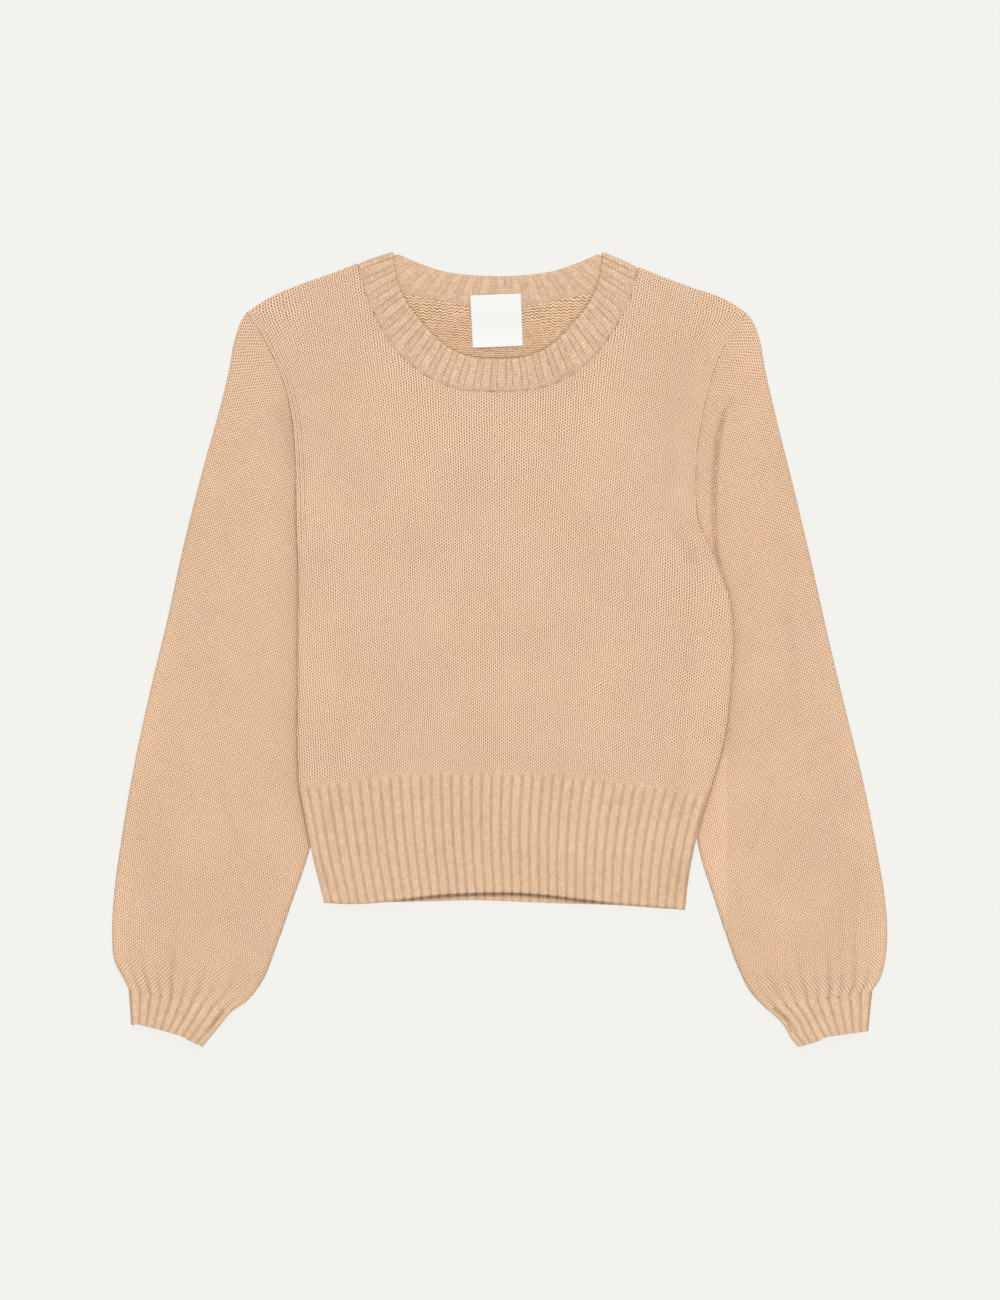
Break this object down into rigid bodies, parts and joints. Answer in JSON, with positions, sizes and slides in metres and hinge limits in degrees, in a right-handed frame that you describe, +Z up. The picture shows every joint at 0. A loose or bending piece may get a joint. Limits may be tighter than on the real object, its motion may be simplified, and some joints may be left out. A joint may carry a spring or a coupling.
{
  "type": "cropped knit sweater",
  "caption": "Cropped crew-neck knit sweater laid flat, with full sleeves tucked under the body's sides, ribbed hem, cuffs and neckband.",
  "frame": {"origin": "middle of the laid garment's bounding box, on the surface it lies on", "axes": "+Z up, away from the surface it lies on; +Y from the hem to the neck; +X towards the wearer's left sleeve"},
  "size_m": [0.6584, 0.6754, 0.0123],
  "materials": {
    "knit": "soft brushed knit",
    "rib": "soft ribbed knit",
    "label": "woven satin"
  },
  "bodies": {
    "root": {"back_panel": "knit", "front_panel": "knit", "hem_rib_back": "rib", "hem_rib_front": "rib", "sleeve_left": "knit", "sleeve_right": "knit", "cuff_left": "rib", "cuff_right": "rib", "neckband": "rib", "neck_label": "label"}
  },
  "joints": []
}
